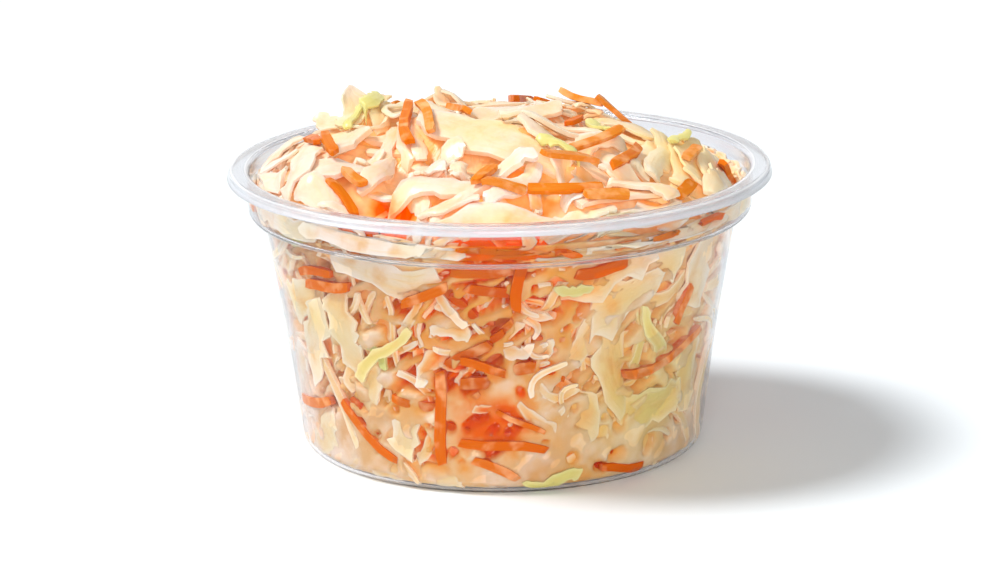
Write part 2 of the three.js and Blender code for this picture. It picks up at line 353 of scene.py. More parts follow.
def wall_radius(z):
    """Radius that the salad reaches at height z: the inside of the sheet, but easing over the
    collar's ledge in a smooth step 1.5 mm high."""
    rise = np.clip((z - wall_top_height - 0.3) / 1.5, 0, 1)
    collar = ledge_radius + (collar_radius - sheet / 2 - ledge_radius) * eased(rise)
    return np.where(z < wall_top_height, np.interp(z, going_up[:, 1], going_up[:, 0]), collar)


# ==================================================================== how the shreds lie
# The shreds are laid one by one on three beds: down over the heap, in from the cup's wall, and
# up from its base. A bed is a sheet of heights. On the wall's bed, height is depth behind the
# plastic, so the first shreds laid there are those that are pressed against it.

rng = np.random.default_rng(11)
wrap_radius = 38.0  # the wall's bed is as long as a circle of this radius
wall_length = 2 * math.pi * wrap_radius
pressed_in = 0.1  # what touches the plastic reaches this far into the sheet, so no gap shows


class Bed:
    """A grid of square cells over a flat sheet: its level to start with, its height to be filled
    up to, and the height of what has been laid on it so far."""

    def __init__(self, low, high, level, goal, keep_in, wraps=False, cell=0.4):
        self.low, self.cell, self.wraps, self.level, self.keep_in = low, cell, wraps, level, keep_in
        self.shape = [int(round((b - a) / cell)) for a, b in zip(low, high)]
        self.p, self.q = np.meshgrid(
            *[a + cell * (np.arange(n) + 0.5) for a, n in zip(low, self.shape)], indexing="ij")
        self.goal = goal(self.p, self.q)
        self.top = level(self.p, self.q) + 0.0

    def cells(self, p, q):
        i = np.floor((p - self.low[0]) / self.cell).astype(int)
        i = i % self.shape[0] if self.wraps else np.clip(i, 0, self.shape[0] - 1)
        return i, np.clip(np.floor((q - self.low[1]) / self.cell).astype(int), 0, self.shape[1] - 1)

    def plane(self, p, q, step=4.0):
        """Heights over (p, q) of the plane that touches the level in their middle."""
        a, b = p.mean(), q.mean()
        slope_p = (self.level(a + step, b) - self.level(a - step, b)) / (2 * step)
        slope_q = (self.level(a, b + step) - self.level(a, b - step)) / (2 * step)
        return slope_p * (p - a) + slope_q * (q - b)

    def blurred(self, passes):
        """The height laid so far, each cell again and again the mean of itself and four others."""
        field = self.top
        for _ in range(passes):
            shifted = [np.roll(field, s, a) for s, a in ((2, 0), (-2, 0), (2, 1), (-2, 1))]
            field = (field + sum(shifted)) / 5
        return field


def drawn_in(p, q, radius):
    """Points moved straight towards the axis wherever they lie beyond the radius."""
    share = np.minimum(1, radius / np.maximum(np.hypot(p, q), 1e-6))
    return p * share, q * share


def ripple(p, q, length, seed):
    """A gentle random field from -1 to 1: a sum of 14 sine waves, each with a whole number of
    turns in the length along p, so that the field closes on itself round the cup."""
    draw = np.random.default_rng(seed)
    waves = [np.sin(2 * math.pi * (draw.integers(-14, 15) * p + draw.uniform(-14, 14) * q) / length
                    + draw.uniform(0, 7)) for _ in range(14)]
    return np.clip(sum(waves) / 6, -1, 1)


def edge_height(p):
    """Height of the heap where it meets the collar, at the place p along the wall's bed."""
    angle = -p / wrap_radius
    return heap_top(brim_radius * np.cos(angle), brim_radius * np.sin(angle))


crests = [  # x, y, height and spread along x and y of what the loose shreds add to the form
    (35, 11, -6.6, 15, 16), (-18.5, -30.5, -5.5, 3.6, 4.2), (-4, 3, -0.2, 20, 8),
    (-17, -1, 1.2, 6, 6), (-17, -16, -2.6, 6, 6), (-30, 5, -1.5, 6, 9),
]
back_slope = 0.06


def loose_top(x, y):
    """The height to fill up to: the heap's, a bell curve for each crest, a slope to the back."""
    top = heap_top(x, y) - back_slope * np.maximum(y - 2, 0)
    for at_x, at_y, height, *spread in crests:
        top = top + height * np.exp(-(((x - at_x) / spread[0]) ** 2 + ((y - at_y) / spread[1]) ** 2))
    return top


def along_wall(p, q):
    """Points kept on the wall's bed: all above the collar's ledge or all below it."""
    if q.mean() < wall_top_height + 1:
        return p, np.clip(q, 1.2, wall_top_height + 0.3)
    return p, np.clip(q, wall_top_height + 1.6, np.maximum(edge_height(p) - 0.3, wall_top_height + 2))


top_layer, wall_layer, base_layer = 7.6, 2.6, 3.4  # how thick the loose shreds lie on each bed
base_top = punt_rise + sheet
top_bed = Bed(
    (-44, -44), (44, 44), lambda x, y: loose_top(x, y) - top_layer + 1.3 * ripple(x, y, 100.0, 3),
    loose_top, lambda x, y: drawn_in(x, y, brim_radius - 1.4))
wall_bed = Bed(
    (0, 0), (wall_length, 50), lambda p, q: 0.12 * ripple(p, q, wall_length, 1) - pressed_in,
    lambda p, q: np.full(p.shape, wall_layer), along_wall, wraps=True)
base_bed = Bed(
    (-34, -34), (34, 34), lambda x, y: np.full(np.shape(x), base_top - pressed_in),
    lambda x, y: np.full(x.shape, base_layer), lambda x, y: drawn_in(x, y, punt_radius - 1))

# A flat-bottomed hollow is left open in the heap, where the loose shreds are sent elsewhere.
hollow_reach = ((top_bed.p + 18.5) / 3.6) ** 2 + ((top_bed.q + 31.5) / 5.5) ** 2
top_bed.goal -= 30 * np.exp(-hollow_reach ** 2)

cuts = {  # limits of length, width and thickness, then how far each kind bends and varies
    "ribbon": dict(
        length=(16, 34), width=(1.5, 3.2), thick=(0.7, 1.2), bow=1.3, sway=0.14, ragged=0.06, taper=0.25,
        flare=0.3, curl=0.4, wave=0.7, bank=0.5, stiff=0.2, edge=0.55, torn=0.55, stations=14, rails=4),
    "leaf": dict(
        length=(10, 20), width=(4.5, 9.0), thick=(0.4, 0.8), bow=0.5, sway=0.1, ragged=0.16, taper=0.3,
        flare=0.4, curl=1.0, wave=0.9, bank=0.6, stiff=0.15, edge=0.6, torn=0.85, stations=12, rails=5),
    "rib": dict(
        length=(11, 24), width=(2.2, 4.0), thick=(1.2, 1.9), bow=0.7, sway=0.08, ragged=0.05, taper=0.25,
        flare=0.35, curl=0.3, wave=0.3, bank=0.4, stiff=0.4, edge=0.5, torn=0.55, stations=11, rails=4),
    "thread": dict(
        length=(8, 20), width=(0.8, 1.5), thick=(0.5, 0.9), bow=1.6, sway=0.18, ragged=0.05, taper=0.4,
        flare=0.2, curl=0.0, wave=0.6, bank=0.3, stiff=0.25, edge=0.6, torn=0.2, stations=11, rails=3),
    "carrot": dict(
        length=(9, 21), width=(1.5, 2.2), thick=(1.1, 1.6), bow=0.4, sway=0.04, ragged=0.04, taper=0.1,
        flare=0.05, curl=0.0, wave=0.0, bank=0.3, stiff=0.8, edge=0.9, torn=0.1, stations=7, rails=3),
}
laid = {kind: [] for kind in cuts}


def cut_shred(kind, **given):
    """The measures of one shred, each drawn between its kind's limits unless it is given."""
    limits = cuts[kind]
    shred = {key: rng.uniform(*limits[key]) for key in ("length", "width", "thick")}
    for key in ("bow", "sway", "flare", "curl", "wave", "bank"):
        shred[key] = rng.uniform(-limits[key], limits[key])
    shred.update(
        heading=rng.uniform(0, 2 * math.pi), slant=rng.uniform(-0.7, 0.7), lift=0.0, tone=rng.uniform(),
        green=0.0, taper=limits["taper"] * rng.uniform(0.5, 1.2), turns=rng.uniform(3, 9, 2),
        phases=rng.uniform(0, 2 * math.pi, 4))
    shred.update(given)
    return {**limits, "kind": kind, **shred}


def places(bed, shred, t, u):
    """Places on a bed of a shred's points, t from -1 to 1 along it and u from -1 to 1 across it.

    The middle line is an arc whose heading turns by bow * t, with a sideways sway of sin(pi t).
    The half width narrows with the fourth power of t and flares to one end, each edge has
    waves of its own, and the ends slant. What would lie outside the bed is kept in.
    """
    half = shred["length"] / 2
    turned = shred["bow"] * t
    along = half * t * np.sinc(turned / math.pi)
    aside = half * t * np.sinc(turned / (2 * math.pi)) * np.sin(turned / 2)
    aside = aside + half * shred["sway"] * np.sin(math.pi * t)
    heading = turned + shred["sway"] * math.pi * np.cos(math.pi * t)
    a, b = shred["turns"]
    c, d, e, f = shred["phases"]
    left = np.sin(a * t + c) + 0.6 * np.sin(2.3 * b * t + d)
    right = np.sin(b * t + e) + 0.6 * np.sin(2.3 * a * t + f)
    ragged = 1 + shred["ragged"] * (np.where(u > 0, left, right) + 0.5 * np.sin(17 * t + c + 2 * u))
    reach = shred["width"] / 2 * u * (1 - shred["taper"] * t ** 4) * (1 + shred["flare"] * t) * ragged
    across = reach * shred["slant"] * t * t
    x = along - np.sin(heading) * reach + np.cos(heading) * across
    y = aside + np.cos(heading) * reach + np.sin(heading) * across
    cos, sin = math.cos(shred["heading"]), math.sin(shred["heading"])
    return bed.keep_in(shred["p"] + x * cos - y * sin, shred["q"] + x * sin + y * cos)


def neighbours(heights, axis):
    """The mean of the two neighbours of each point along an axis, straight on past the ends."""
    h = np.moveaxis(heights, axis, 0)
    wide = np.concatenate([2 * h[:1] - h[1:2], h, 2 * h[-1:] - h[-2:-1]])
    return np.moveaxis((wide[:-2] + wide[2:]) / 2, 0, axis)


def draped(support, own, droop=0.12):
    """Heights of a limp strip on its support. Over and over, each point goes to the mean of
    its neighbours, measured from the strip's own curl, less a droop, but not under the support."""
    heights = support
    for _ in range(12):
        free = heights - own
        mean = 0.7 * neighbours(free, 0) + 0.3 * neighbours(free, 1)
        heights = np.maximum(support, own + mean - droop)
    return 0.5 * heights + 0.5 * (own + neighbours(heights - own, 0))


def propped(support, s):
    """Heights of a stiff stick on its support, pressed halfway into it. Of the lines that join
    a point before its middle to one after, the one that passes highest over the middle holds
    it up, and it sinks halfway from there to the line that fits the support best."""
    crest = support.max(1)
    i, j = np.meshgrid(np.where(s < -0.1)[0], np.where(s > 0.1)[0], indexing="ij")
    slope = (crest[j] - crest[i]) / (s[j] - s[i])
    over = crest[i] - slope * s[i]
    best = np.unravel_index(np.argmax(over), over.shape)
    fit, fitted_slope = crest.mean(), (crest * s).sum() / (s * s).sum()
    line = (over[best] + fit) / 2 + (slope[best] + fitted_slope) / 2 * s
    return line[:, None] + np.zeros_like(support)


def lay(bed, shred):
    """Lays a shred on a bed, keeps its rails and raises the bed over it.

    The support under each rail point is the highest of nine places round it. The heights are a
    mix of a limp strip's and a stiff stick's, which tilts with the plane under it. The free end
    may lift with the square of the distance from the middle.
    """
    s = np.linspace(-1, 1, shred["stations"])
    t = s * (1.4 - 0.4 * s * s)
    u = np.linspace(-1, 1, shred["rails"])
    around = np.array([-1, 0, 1]) / 1.6
    many_t = np.clip(t[:, None] + around / shred["stations"], -1, 1).ravel()
    many_u = np.clip(u[:, None] + around / shred["rails"], -1, 1).ravel()
    cells = bed.cells(*places(bed, shred, many_t[:, None], many_u[None, :]))
    support = bed.top[cells].reshape(len(t), 3, len(u), 3).max((1, 3))
    p, q = places(bed, shred, t[:, None], u[None, :])
    plane = bed.plane(p, q)
    own = shred["curl"] * u[None, :] ** 2 * shred["width"] / 5
    swell = np.sin(shred["turns"][0] * t[:, None] + shred["phases"][1] + u[None, :])
    own = own + 0.5 * shred["wave"] * swell * (0.4 + 0.6 * u[None, :] ** 2)
    own = own + shred["bank"] * u[None, :] * shred["width"] / 2
    limp = draped(support, own)
    rigid = propped(support - plane, t) + plane
    rigid = rigid + shred["bank"] * u[None, :] * shred["width"] / 2
    middle = limp + (rigid - limp) * shred["stiff"] + shred["thick"] / 2
    middle = middle + shred["lift"] * np.clip(t, 0, 1)[:, None] ** 2
    middle = np.maximum(middle, bed.level(p, q) + shred["thick"] / 2)
    laid[shred["kind"]].append({**shred, "bed": bed, "rails": np.stack([p, q, middle], -1)})
    share_t = np.linspace(0, len(t) - 1, int(shred["length"] / 0.3))[:, None]
    share_u = np.linspace(0, len(u) - 1, int(shred["width"] / 0.3) + 2)[:, None]
    on_t = np.maximum(0, 1 - abs(share_t - np.arange(len(t))))
    on_u = np.maximum(0, 1 - abs(share_u - np.arange(len(u))))
    p, q, middle = [on_t @ rail @ on_u.T for rail in (p, q, middle)]
    np.maximum.at(bed.top, bed.cells(p, q), middle + shred["thick"] / 2)


def scatter(bed, kinds, place, tries=7, **given):
    """Lays a shred of each kind in turn, each at the one of several random places where the
    bed lies furthest below its goal."""
    t, u = np.linspace(-0.9, 0.9, 9)[:, None], np.array([[-0.7, 0.7]])
    for kind in kinds:
        options = []
        for _ in range(tries):
            shred = cut_shred(kind, **place(), **given)
            cells = bed.cells(*places(bed, shred, t, u))
            options.append(((bed.top[cells] - bed.goal[cells]).mean(), len(options), shred))
        best = min(options)[2]
        lay(bed, best)


def mixed(**counts):
    """The names of the kinds, each as often as its count says, in a random order."""
    names = np.repeat(list(counts), list(counts.values()))
    return [str(name) for name in rng.permutation(names)]


# ==================================================================== what lies where
# White cabbage and carrot, shredded in a machine. Cabbage comes out as limp ribbons, broader
# pieces of leaf and thick pieces of rib, and carrot as stiff square sticks. The first shreds
# laid against the wall and the last laid over the heap are the ones that show most.


def on_wall(angle, height, tilt):
    """The place and heading on the wall's bed of a shred at an angle round from the front, in
    degrees towards the right, that rises to the right by the tilt."""
    return dict(p=-math.radians(angle) * wrap_radius, q=height, heading=math.radians(180 - tilt))


wall_carrots = [  # angle, height, tilt and length
    (40, 46.0, -12, 5), (56, 46.0, -6, 6), (15, 44.2, -43, 5), (-1, 46.2, -3, 11), (3, 44.6, 5, 10),
    (25, 39.6, 7, 9), (4, 39.0, -100, 11), (-3, 40.2, 4, 12), (-2, 36.9, -9, 9), (-19, 35.9, 26, 9),
    (-49, 34.8, 7, 11), (-53, 37.2, 9, 9), (50, 20.8, 12, 21), (53, 30.2, 63, 7), (-65, 11.3, 11, 14),
    (-41, 8.8, -37, 15), (-43, 11.5, -52, 8), (-17, 13.8, -92, 17), (0, 9.1, -6, 16), (-2, 5.0, -24, 9),
    (-9, 11.0, -14, 11), (-5, 23.5, -16, 8), (2, 22.3, 17, 9), (-3, 20.2, -8, 11), (-22, 15.5, -6, 12),
    (36, 2.6, -7, 10), (-9, 25.6, 30, 9),
]
wall_greens = [  # angle, height, tilt, length, width and how green
    (43, 25.5, -56, 14, 2.8, 0.68), (39, 25, -84, 13, 2.4, 0.66), (-33, 24.5, 42, 16, 2.2, 0.66),
    (-34, 23.7, -62, 4.4, 2.4, 1.0), (18, 36.5, -12, 6, 2.0, 0.75), (14, 1.9, 3, 11, 2.4, 0.8),
    (-62, 42, 5, 8, 3, 0.7),
]
wall_leaves = [  # angle, height, tilt, length and width
    (40, 45.3, -2, 28, 6.4), (-33, 45.3, -4, 22, 5.8), (15, 45.2, -15, 8, 4.6), (-58, 45.4, 3, 16, 4.8),
    (72, 45, 4, 16, 4.6), (-16, 45, 12, 9, 4.6), (26, 38.5, 10, 20, 7), (-30, 38.5, -8, 20, 6.5),
    (15, 38.0, -84, 10, 6.5), (6, 36.2, 54, 8, 2.4), (18, 16.0, -44, 15, 8.5), (8, 31.5, -40, 13, 6.5),
    (-10, 34.0, 25, 9, 5), (-13, 26, -48, 12, 4.5), (-18, 25.0, 62, 13, 3.4), (33, 34, 20, 14, 8),
    (30, 22, -70, 15, 8), (46, 13, 15, 15, 8.5), (28, 12, 60, 13, 7), (58, 36, 75, 14, 7),
    (60, 17, 80, 15, 6), (-45, 28, -70, 14, 7), (-58, 24, 80, 16, 7), (-38, 17, 75, 12, 6),
    (-60, 31, 20, 11, 7), (-26, 41, -20, 11, 6), (-70, 15, 85, 14, 6), (22, 27, 35, 10, 5.5),
    (-27, 12, 80, 12, 5),
]
level = dict(wave=0.0, bank=0)
smooth = dict(level, curl=0.0)
for *spot, length in wall_carrots:
    bow = rng.uniform(-0.25, 0.25)
    lay(wall_bed, cut_shred("carrot", **on_wall(*spot), length=length, bow=bow, bank=0))
for *spot, length, width, green in wall_greens:
    own = dict(on_wall(*spot), length=length, width=width, green=green, bow=rng.uniform(-0.4, 0.4))
    lay(wall_bed, cut_shred("ribbon", **own, **smooth))
for k in range(57):
    kind, widths = (("carrot", (0.9, 1.4)), ("thread", (0.9, 1.4)), ("ribbon", (1.6, 3.0)))[k % 3]
    spot = rng.uniform(-14, 16), rng.uniform(9, 35), rng.uniform(-90, 90)
    own = dict(on_wall(*spot), length=rng.uniform(5, 10), width=rng.uniform(*widths))
    lay(wall_bed, cut_shred(kind, **own, **level))
front_top = wall_bed.top.copy()
for *spot, length, width in wall_leaves:
    kind = "leaf" if width > 4.4 else "ribbon"
    lay(wall_bed, cut_shred(kind, **on_wall(*spot), length=length, width=width, tone=0.0, **smooth))


def on_back_wall():
    """A random place on the half of the wall's bed away from the front, under the collar."""
    return dict(p=rng.uniform(0.25, 0.75) * wall_length, q=rng.uniform(3, 39))


def anywhere_on_wall():
    return dict(p=rng.uniform(0, wall_length), q=rng.uniform(3, 39))


def on_collar():
    """A random place on the wall's bed above the ledge, for a short shred that lies nearly level."""
    return dict(
        p=rng.uniform(0, wall_length), q=rng.uniform(44, 46.5), heading=rng.uniform(-0.5, 0.5),
        length=rng.uniform(5, 11))


for angle in range(92, 268, 22):
    kind = rng.choice(["leaf", "leaf", "rib"])
    own = dict(length=rng.uniform(8, 18), width=rng.uniform(3, 4.8))
    spot = angle + rng.uniform(-6, 6), 45.2, rng.uniform(-14, 14)
    lay(wall_bed, cut_shred(kind, **on_wall(*spot), **own, **smooth))
nearly_flat = dict(bank=0, wave=0.1, curl=0.1)
scatter(wall_bed, mixed(ribbon=26, leaf=30, rib=10, carrot=14), on_collar, **nearly_flat)
scatter(wall_bed, ["carrot"] * 34, on_back_wall, bank=0)
scatter(wall_bed, mixed(ribbon=60, leaf=60, rib=24, thread=90), anywhere_on_wall, **nearly_flat)
scatter(wall_bed, mixed(ribbon=110, leaf=110, rib=50, thread=110, carrot=60), anywhere_on_wall, wave=0.3)


def on_disc(radius):
    """A random place within a radius of the axis, as likely on one patch as on another."""
    reach, turn = radius * math.sqrt(rng.uniform()), rng.uniform(0, 2 * math.pi)
    return dict(p=reach * math.cos(turn), q=reach * math.sin(turn))


base_mix = mixed(ribbon=30, leaf=34, rib=14, carrot=16)
scatter(base_bed, base_mix, lambda: on_disc(23), length=12, wave=0.2, bank=0)

top_carrots = [  # x, y, heading in degrees, length and lift of the far end
    (-31.8, -6.1, -77, 9, 0), (-29.2, -13.3, -76, 9, 0), (-26.2, -28.3, -51, 7, 0),
    (-24.6, -24.8, -50, 5, 0), (-16.3, -7.1, -89, 17, 0), (-12.2, -9.1, -80, 12, 0),
    (-6.4, -3.8, -70, 9, 0), (14.5, 7.0, 155, 8, 1.2),
    (20.8, 4.5, -4, 7, 0), (13, -5.5, 67, 5, 0), (16.7, -16.5, 48, 14, 0), (22, -20.7, 66, 12, 0),
    (11.7, -28, 27, 10, 0), (11, -34.3, 15, 13, 0), (17.7, -34.4, 22, 8, 0), (0.7, -36.7, -4, 7, 0),
    (-2.6, -33, 60, 6, 0), (33, -13, 68, 6, 0), (31.3, -24, 65, 6, 0), (39.0, -5.7, 75, 9, 0),
]
top_greens = [  # x, y, heading in degrees, length, width and lift of the far end
    (-25, 1, 73, 9, 1.8, 0.6), (-22, 4, 61, 6, 3.4, 0), (31.3, -8.6, 62, 6, 1.6, 0.4),
    (10, -24.3, -18, 7, 2.0, 0), (17.6, -7.9, -64, 8, 3.0, 0),
]
top_slabs = [  # kind, x, y, heading in degrees, length, width, thickness and lift of the far end
    ("ribbon", -18.9, -9.1, -92, 17, 2.8, 1.0, 0), ("ribbon", -16.6, -7.0, -88, 18, 2.6, 1.0, 0),
    ("ribbon", -13.9, -7.3, -83, 20, 2.8, 1.0, 0), ("rib", -28.2, -8.6, 67, 14, 8, 1.8, 0),
    ("rib", -27.0, -19.5, 12, 13, 7, 1.8, 0), ("leaf", -33, -4, 100, 13, 7, 0.9, 0),
    ("ribbon", -30.0, -27.0, -35, 11, 4.2, 1.2, 0), ("leaf", -34, -17, 60, 13, 6, 0.9, 0),
    ("rib", -20.1, -20.6, 60, 11, 3.6, 1.9, 0), ("rib", -9.7, -30.5, -30, 17, 6, 1.8, 0),
    ("leaf", 5, 2, 10, 18, 7, 0.9, 0), ("leaf", -14, 6, -10, 17, 7, 0.9, 0),
    ("rib", 7.2, -1.6, 34, 9, 6, 1.4, 0.5), ("rib", -7, -7, -52, 30, 6, 1.5, 0),
    ("rib", -3.0, -17.0, -40, 30, 9, 1.7, 0), ("rib", 10.5, -21.4, -35, 18, 5.5, 1.5, 0),
    ("rib", 18.0, -7.2, -60, 9, 5, 1.3, 0), ("ribbon", 8.9, -13.6, 16, 18, 3.2, 1.3, 0),
    ("leaf", 22, -1, -30, 14, 6, 0.8, 0.4), ("leaf", 25.0, -15, 79, 16, 6, 1.0, 0),
    ("ribbon", 27.5, -15, 84, 17, 3.6, 1.0, 1.6), ("ribbon", 30.6, -13.5, 76, 17, 3.4, 1.0, 2.0),
    ("leaf", 33.5, -11, 95, 15, 5, 0.8, 1.6), ("ribbon", 36.0, -10, 86, 14, 3.6, 0.9, 1.6),
    ("ribbon", 37.5, -15.5, 61, 10, 4, 1.0, 0), ("leaf", 24.0, -34.0, 35, 15, 5.5, 0.8, 0),
    ("leaf", 13.0, -38.0, 12, 13, 5, 0.8, 0), ("rib", 2.5, -34.5, 45, 13, 3.2, 1.5, 0),
    ("rib", 20.0, -30.5, 30, 18, 4.2, 1.5, 0), ("ribbon", 24.6, -28.7, -18, 13, 3.4, 1.2, 0),
    ("rib", 1.6, -29.8, 15, 8, 4.5, 1.8, 0), ("leaf", -25, 5, 100, 12, 6, 0.6, 4.0),
    ("leaf", -28, 3, 150, 10, 5, 0.6, 3.5), ("ribbon", -9, 8, 110, 8, 2.8, 0.7, 3.6),
]


def on_heap():
    return on_disc(brim_radius)


def small_leaf_on_heap():
    return dict(
        on_heap(), length=rng.uniform(5, 11), width=rng.uniform(2.5, 5.0), thick=rng.uniform(0.5, 1.0))


def lay_on_heap(kind, x, y, heading, **own):
    lay(top_bed, cut_shred(kind, p=x, q=y, heading=math.radians(heading), **own))


scatter(top_bed, mixed(ribbon=64, leaf=36, rib=34, thread=20, carrot=16), on_heap)
scatter(top_bed, ["carrot"] * 10, lambda: {**on_disc(26), "q": rng.uniform(4, 34)})
scatter(top_bed, mixed(ribbon=64, leaf=24, rib=26, thread=30), on_heap, wave=0.3)
for *spot, length, width, thick, lift in top_slabs:
    own = dict(length=length, width=width, thick=thick, lift=lift)
    lay_on_heap(*spot, **own, bow=rng.uniform(-0.4, 0.4))
scatter(top_bed, ["ribbon"] * 16, lambda: dict(on_heap(), width=rng.uniform(1.8, 3.4), thick=0.8))
scatter(top_bed, ["leaf"] * 50, small_leaf_on_heap)
scatter(top_bed, ["thread"] * 14, on_heap, lift=0.8)
scatter(top_bed, ["carrot"] * 9, lambda: dict(p=rng.uniform(-30, 30), q=rng.uniform(25, 38)))
for *spot, length, width, lift in top_greens:
    own = dict(length=length, width=width, lift=lift, green=0.8, thick=0.9)
    lay_on_heap("ribbon", *spot, **own, bow=rng.uniform(-0.4, 0.4))
for *spot, length, lift in top_carrots:
    own = dict(width=rng.uniform(1.4, 1.9), thick=rng.uniform(0.9, 1.3), bow=rng.uniform(-0.25, 0.25))
    lay_on_heap("carrot", *spot, length=length, lift=lift, **own)


# ==================================================================== cabbage
# White cabbage, shredded 1 mm thick: pale, half clear flesh with fine veins along the shred, greener where
# it comes from outer leaves, orange where carrot juice stains it, and with painted warm shade the deeper it
# lies in the heap.


def in_place(bed, points):
    """Points of a bed in the cup, kept inside its wall. The wall's bed is wrapped round, with
    its height running inwards, and at its foot it keeps clear of the step in the base."""
    if bed is not wall_bed:
        inside = drawn_in(points[..., 0], points[..., 1], wall_radius(points[..., 2]) - 0.4)
        return np.stack([*inside, points[..., 2]], -1)
    angle, z = -points[..., 0] / wrap_radius - math.pi / 2, points[..., 1]
    radius = wall_radius(z) - points[..., 2]
    radius = np.where(z < base_top + sheet, np.maximum(radius, punt_radius + 1.6), radius)
    return np.stack([radius * np.cos(angle), radius * np.sin(angle), z], -1)


ceiling = top_bed.blurred(6)
stain_zones = [  # x, y, z, the spread along each, the share of juice and the share of green there
    # Some zones paint light or shade: the strong juice in the hollow at (-18.5, -29, 46) is part painted
    # shade in it, and the negative juice on the heap's right at (31, -10, 54) and on the collar at (27,
    # -33, 44.5) and (-29, -32, 44.5) is painted light that lifts their shade.
    (-1, -40, 28, 10, 14, 16, 0.05, 0.0), (-1, -43, 45, 8, 8, 5, 0.9, 0.0),
    (-1, -37, 12, 13, 12, 8, 0.7, 0.0), (27, -27, 18, 16, 16, 18, -0.5, 0.64),
    (-27, -26, 28, 12, 14, 18, -0.3, 0.2), (-18.5, -29, 46, 4.5, 7, 7, 1.8, 0.0),
    (-24, -27, 8, 9, 10, 8, -0.3, 0.0), (-2, -16, 57, 12, 7, 6, -0.3, 0.3),
    (31, -10, 54, 9, 12, 6, -0.5, 0.35), (38, 12, 44, 9, 16, 7, -0.5, 0.0),
    (-30, -12, 50, 9, 13, 6, -0.35, 0.1), (27, -33, 44.5, 12, 9, 4, -0.7, -0.1),
    (-29, -32, 44.5, 12, 9, 4, -0.5, -0.1), (0, -2, 57, 40, 40, 9, -0.22, 0.05),
    (-24, 4, 60, 7, 8, 5, -0.2, 0.3), (6, -32, 50, 8, 6, 6, 0.25, 0.0),
]


def drift(points, seed, size):
    """A gentle random field in space, from about -1 to 1: a sum of 12 sine waves that run in
    random directions, with wavelengths of about the size."""
    draw = np.random.default_rng(seed)
    turns = 2 * math.pi / size / 1.7
    return sum(np.sin(points @ draw.normal(0, turns, 3) + draw.uniform(0, 7)) for _ in range(12)) / 4


def staining(points):
    """How much carrot juice there is at points of the heap, and how green the cabbage is:
    random fields of patches 30 mm across, plus a bell shape for each zone."""
    juice, green = 0.4 + 0.25 * drift(points, 21, 30), 0.05 + 0.12 * drift(points, 22, 34)
    for x, y, z, *spread, juicy, leafy in stain_zones:
        bell = np.exp(-(((points - (x, y, z)) / spread) ** 2).sum(-1))
        juice, green = juice + juicy * bell, green + leafy * bell
    return np.clip(juice, 0, 1.6), np.clip(green, 0, 1)


pressed_depth_shade = 0.14  # how deep a shred against the plastic counts as lying, which gives it a little painted warm shade


def depth_share(bed, points):
    """How deep points lie from where the heap is seen, from 0 at its surface to 1 deep in it.
    Behind the collar the share starts at nothing and grows more slowly, so there is less painted shade
    there."""
    # The share drives the painted shade and glow of the materials.
    if bed is top_bed:
        depth = (ceiling[bed.cells(points[..., 0], points[..., 1])] - points[..., 2] - 0.1) / 4.5
    else:
        collar = (points[..., 1] > wall_top_height) * (bed is wall_bed)
        depth = points[..., 2] - (0 if bed is wall_bed else base_top)
        depth = pressed_depth_shade - pressed_depth_shade * collar + depth / (2.4 + 2.0 * collar)
    return np.clip(depth, 0, 1)


def torn_edges(rails, share):
    """Rails whose outermost lines are moved towards the next ones by a random share at every
    station, so that an edge is nicked as if torn."""
    rails = rails.copy()
    size = 2, *rails.shape[:2], 1
    torn = np.random.default_rng(41).uniform(-0.2, 1, size) * share
    rails[:, :, 0] += (rails[:, :, 1] - rails[:, :, 0]) * torn[0]
    rails[:, :, -1] += (rails[:, :, -2] - rails[:, :, -1]) * torn[1]
    return rails


